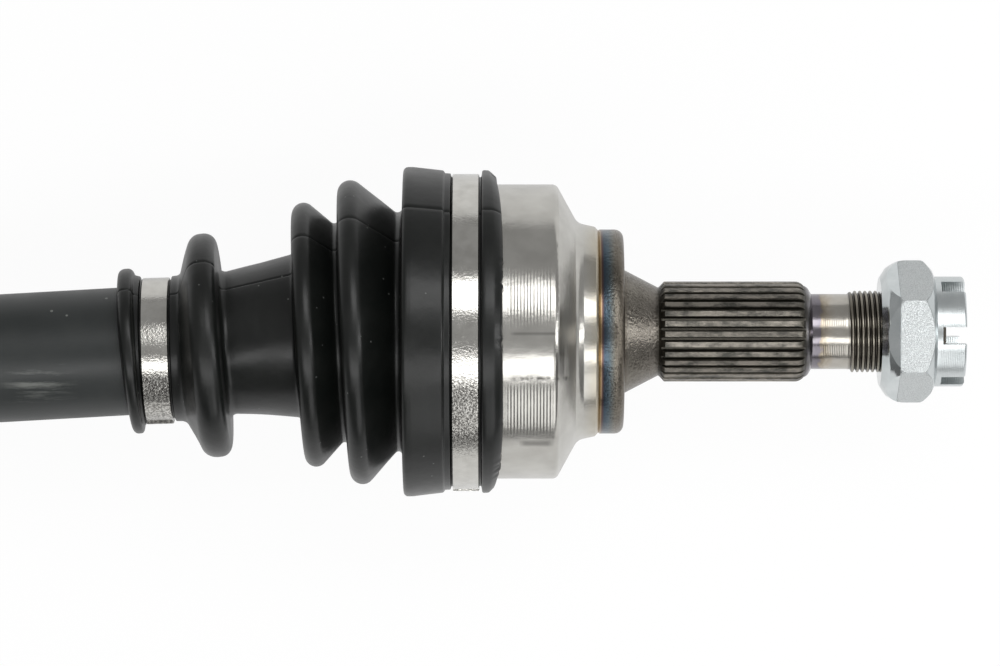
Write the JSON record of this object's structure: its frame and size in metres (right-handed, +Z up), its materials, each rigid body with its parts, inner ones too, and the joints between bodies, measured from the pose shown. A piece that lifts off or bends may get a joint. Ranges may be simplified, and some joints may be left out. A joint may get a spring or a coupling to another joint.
{
  "type": "drive shaft",
  "caption": "Front-wheel drive shaft with a bending ball joint at the wheel end, a sliding tripod joint at the gearbox end, rubber boots, clamps and a slotted hub nut.",
  "frame": {"origin": "on the stub's axis, in the plane of the shoulder that the wheel hub seats on", "axes": "+X outboard along the stub's axis, +Z up from the surface that the shaft lies on"},
  "size_m": [0.5606, 0.112, 0.0956],
  "materials": {
    "machined_steel": "turned, satin",
    "zinc_plated_steel": "bright zinc plate",
    "bearing_steel": "ground",
    "black_steel": "satin black paint",
    "black_paint": "satin black paint",
    "spring_steel": "phosphated",
    "boot_rubber": "moulded, satin",
    "clamp_steel": "bright strip"
  },
  "bodies": {
    "shaft": {"shaft_tube": "black_paint", "outer_shaft_stub": "black_steel", "inner_shaft_stub": "black_steel", "inner_race": "bearing_steel", "race_snap_ring": "spring_steel", "race_stop_ring": "spring_steel", "spider": "bearing_steel", "spider_circlips": "spring_steel", "outer_boot_clamp_small": "clamp_steel", "inner_boot_clamp_small": "clamp_steel", "roller_washer_1": "bearing_steel", "roller_washer_2": "bearing_steel", "roller_washer_3": "bearing_steel", "roller_circlip_1": "spring_steel", "roller_circlip_2": "spring_steel", "roller_circlip_3": "spring_steel"},
    "outer_joint": {"outer_housing": "machined_steel", "outer_boot": "boot_rubber", "outer_boot_clamp_large": "clamp_steel"},
    "cage": {"ball_cage": "bearing_steel", "ball_1": "bearing_steel", "ball_2": "bearing_steel", "ball_3": "bearing_steel", "ball_4": "bearing_steel", "ball_5": "bearing_steel", "ball_6": "bearing_steel"},
    "nut": {"hub_nut": "zinc_plated_steel"},
    "inner_boot": {"inner_boot": "boot_rubber"},
    "inner_joint": {"tulip": "machined_steel", "inner_boot_clamp_large": "clamp_steel", "stub_circlip": "spring_steel"},
    "roller_1": {"roller_1": "bearing_steel"},
    "needles_1": {"needles_1": "bearing_steel"},
    "roller_2": {"roller_2": "bearing_steel"},
    "needles_2": {"needles_2": "bearing_steel"},
    "roller_3": {"roller_3": "bearing_steel"},
    "needles_3": {"needles_3": "bearing_steel"}
  },
  "joints": [
    {"name": "outer_bend", "type": "hinge", "parent": "shaft", "child": "outer_joint", "pos_m": [-0.0419, 0, 0], "axis": [0, 0, 1], "range_deg": [-36.8, 43.2], "deforming": ["outer_boot"]},
    {"name": "cage_bend", "type": "hinge", "parent": "shaft", "child": "cage", "pos_m": [-0.0419, 0, 0], "axis": [0, 0, 1], "range_deg": [-18.5, 21.7]},
    {"name": "nut_turn", "type": "hinge", "parent": "outer_joint", "child": "nut", "pos_m": [0.09, 0, 0], "axis": [1, 0, 0], "continuous": true},
    {"name": "inner_bend", "type": "hinge", "parent": "shaft", "child": "inner_boot", "pos_m": [-0.34642, -0.01703, 0], "axis": [0, 0, 1], "range_deg": [-18, 18], "deforming": ["inner_boot"]},
    {"name": "inner_plunge", "type": "slide", "parent": "inner_boot", "child": "inner_joint", "axis": [0.9984, 0.0558, 0], "range_m": [-0.014, 0.016], "deforming": ["inner_boot"]},
    {"name": "roller_1_roll", "type": "hinge", "parent": "shaft", "child": "roller_1", "pos_m": [-0.34642, -0.01703, 0], "axis": [0, 0, 1], "range_deg": [-60, 60]},
    {"name": "roller_2_roll", "type": "hinge", "parent": "shaft", "child": "roller_2", "pos_m": [-0.34642, -0.01703, 0], "axis": [0.0483, -0.8647, -0.5], "range_deg": [-60, 60]},
    {"name": "roller_3_roll", "type": "hinge", "parent": "shaft", "child": "roller_3", "pos_m": [-0.34642, -0.01703, 0], "axis": [-0.0483, 0.8647, -0.5], "range_deg": [-60, 60]},
    {"name": "needles_1_orbit", "type": "hinge", "parent": "shaft", "child": "needles_1", "pos_m": [-0.34642, -0.01703, 0], "axis": [0, 0, 1], "range_deg": [-40, 40]},
    {"name": "needles_2_orbit", "type": "hinge", "parent": "shaft", "child": "needles_2", "pos_m": [-0.34642, -0.01703, 0], "axis": [0.0483, -0.8647, -0.5], "range_deg": [-40, 40]},
    {"name": "needles_3_orbit", "type": "hinge", "parent": "shaft", "child": "needles_3", "pos_m": [-0.34642, -0.01703, 0], "axis": [-0.0483, 0.8647, -0.5], "range_deg": [-40, 40]}
  ],
  "couplings": [
    {"joint": "cage_bend", "follows": "outer_bend", "ratio": 0.5},
    {"joint": "roller_1_roll", "follows": "inner_plunge", "rad_per_m": 60.606},
    {"joint": "roller_2_roll", "follows": "inner_plunge", "rad_per_m": 60.606},
    {"joint": "roller_3_roll", "follows": "inner_plunge", "rad_per_m": 60.606},
    {"joint": "needles_1_orbit", "follows": "inner_plunge", "rad_per_m": 34.478},
    {"joint": "needles_2_orbit", "follows": "inner_plunge", "rad_per_m": 34.478},
    {"joint": "needles_3_orbit", "follows": "inner_plunge", "rad_per_m": 34.478}
  ]
}
